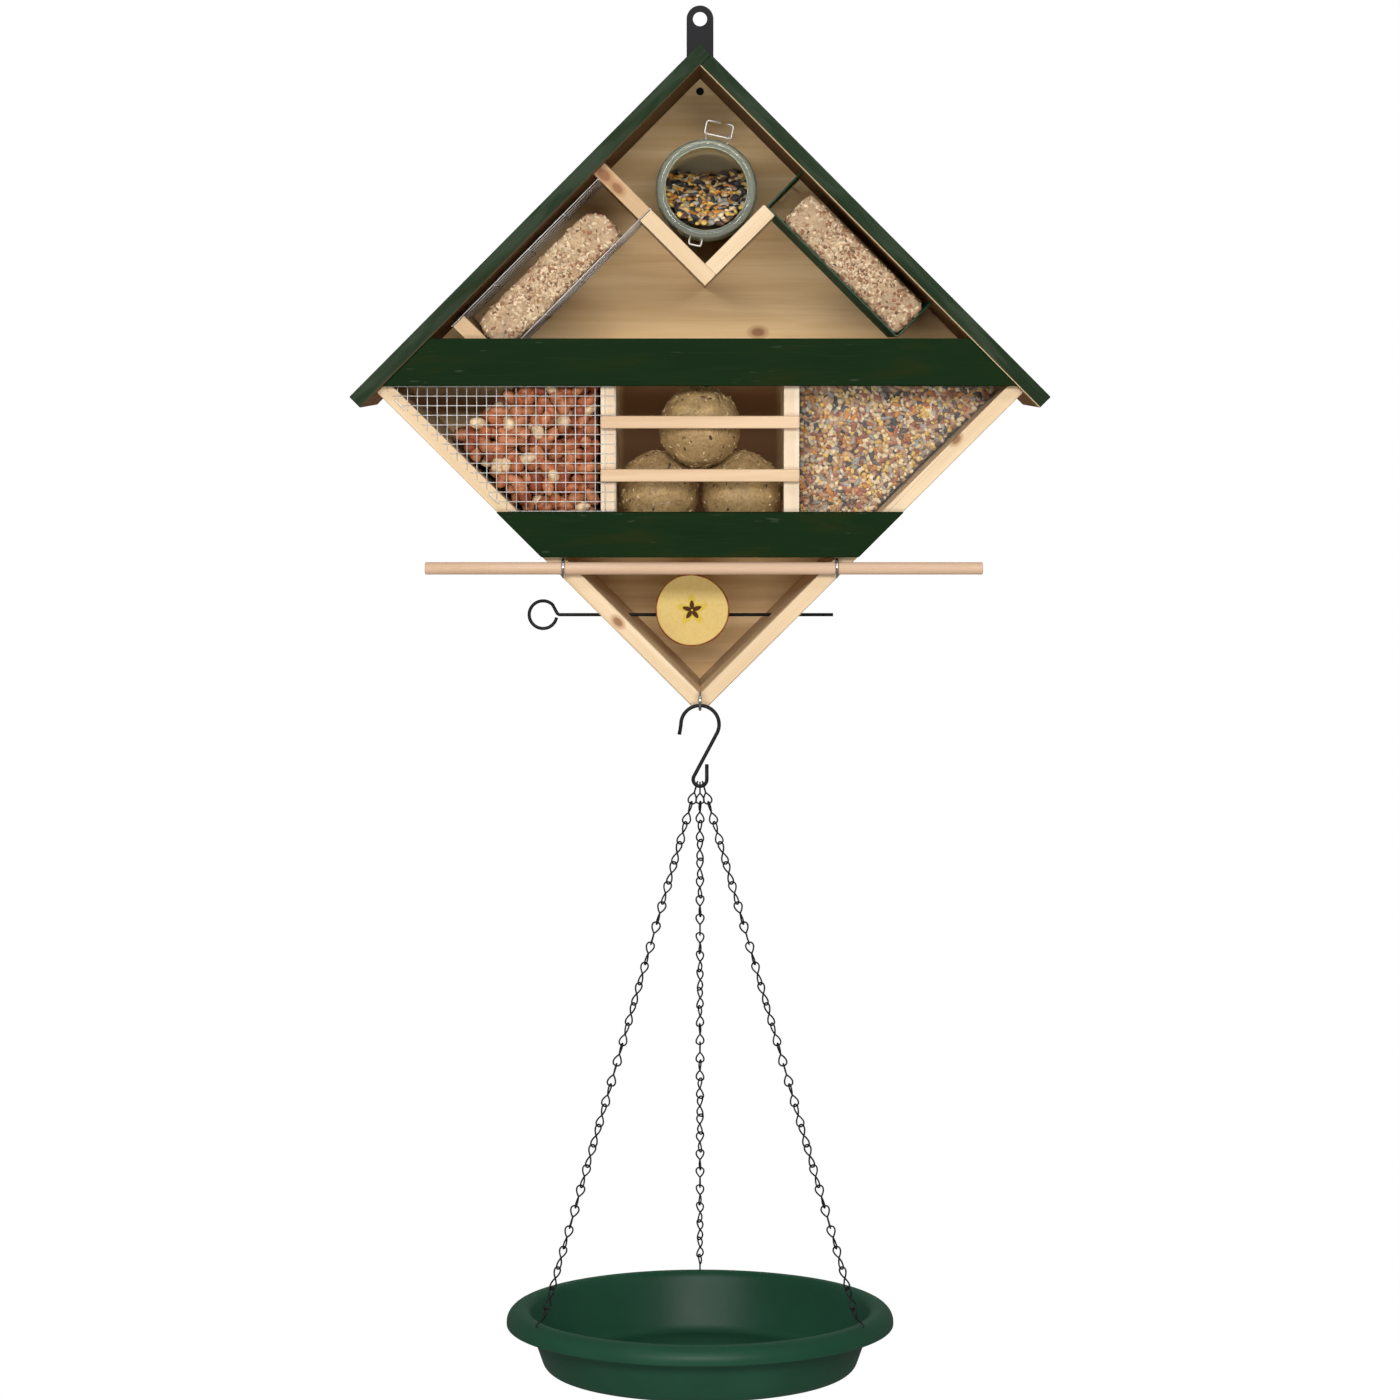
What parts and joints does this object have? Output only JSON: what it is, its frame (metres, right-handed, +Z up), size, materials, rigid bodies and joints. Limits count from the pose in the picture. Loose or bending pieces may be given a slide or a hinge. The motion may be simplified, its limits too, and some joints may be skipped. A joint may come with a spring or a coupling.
{
  "type": "bird feeding station",
  "caption": "Diamond-shaped wooden bird feeding station with a green roof, food storeys, a seed jar, a perch and a water dish hung from its point on chains.",
  "frame": {"origin": "centre of the hole in the hanger plate, half way through the plate", "axes": "+Y back to the wall along the hole, +Z up, +X to the right seen from the front"},
  "size_m": [0.4498, 0.2735, 0.8923],
  "materials": {
    "pine": "planed softwood, unfinished",
    "green_stain": "softwood with dark green wood stain",
    "black_steel": "black painted flat steel",
    "clear_pane": "clear sheet",
    "galvanised_wire": "galvanised welded wire",
    "green_wire": "dark green coated welded wire",
    "jar_wire": "bright spring wire",
    "zinc_wire": "zinc plated steel wire",
    "black_wire": "black coated steel wire",
    "jar_glass": "pale green bottle glass",
    "peanuts": "shelled peanuts in their red skins",
    "seed_mix": "mixed seed",
    "fat_and_seed": "fat pressed with seed",
    "suet": "pressed suet with seed",
    "apple": "cut apple",
    "perch_wood": "round dowel, unfinished",
    "dish_plastic": "moulded dark green plastic"
  },
  "bodies": {
    "house": {"back_panel": "pine", "side_board_left": "pine", "side_board_right": "pine", "floor_shelf": "pine", "divider_left": "pine", "divider_right": "pine", "guard_stick_upper": "pine", "guard_stick_lower": "pine", "cradle_block_left": "pine", "cradle_arm_left": "pine", "cradle_arm_right": "pine", "suet_end_block": "pine", "hanger_plate": "black_steel", "hanger_rivet": "black_steel", "roof_left": "green_stain", "roof_right": "green_stain", "upper_front_board": "green_stain", "lower_front_board": "green_stain", "seed_window": "clear_pane", "peanut_net": "galvanised_wire", "suet_net_lower": "galvanised_wire", "suet_net_upper": "galvanised_wire", "suet_basket": "green_wire", "peanut_fill": "peanuts", "seed_fill": "seed_mix", "fat_ball_left": "fat_and_seed", "fat_ball_right": "fat_and_seed", "fat_ball_top": "fat_and_seed", "suet_cake_left": "suet", "suet_cake_right": "suet", "screw_eyes": "zinc_wire", "apple_half": "apple"},
    "jar": {"jar_glass": "jar_glass", "jar_seed_fill": "seed_mix", "jar_collar": "jar_wire"},
    "clasp": {"jar_clasp": "jar_wire"},
    "skewer": {"skewer": "black_wire"},
    "perch": {"perch": "perch_wood"},
    "hook": {"s_hook": "black_wire"},
    "dish": {"water_dish": "dish_plastic", "chain_left": "black_wire", "chain_right": "black_wire", "chain_back": "black_wire"}
  },
  "joints": [
    {"name": "skewer_slide", "type": "slide", "parent": "house", "child": "skewer", "axis": [1, 0, 0], "range_m": [-0.075, 0]},
    {"name": "perch_slide", "type": "slide", "parent": "house", "child": "perch", "axis": [1, 0, 0], "range_m": [-0.08, 0.08]},
    {"name": "jar_slide", "type": "slide", "parent": "house", "child": "jar", "axis": [0, -1, 0], "range_m": [0, 0.095]},
    {"name": "clasp_hinge", "type": "hinge", "parent": "jar", "child": "clasp", "pos_m": [0.0114, -0.1195, -0.08331], "axis": [0.9781, 0, -0.2079], "range_deg": [-85, 60]},
    {"name": "hook_swing", "type": "hinge", "parent": "house", "child": "hook", "pos_m": [0, -0.1465, -0.44953], "axis": [0, 1, 0], "range_deg": [-20, 20]},
    {"name": "dish_swing", "type": "hinge", "parent": "hook", "child": "dish", "pos_m": [0, -0.1465, -0.5015], "axis": [1, 0, 0], "range_deg": [-20, 3.5]}
  ]
}
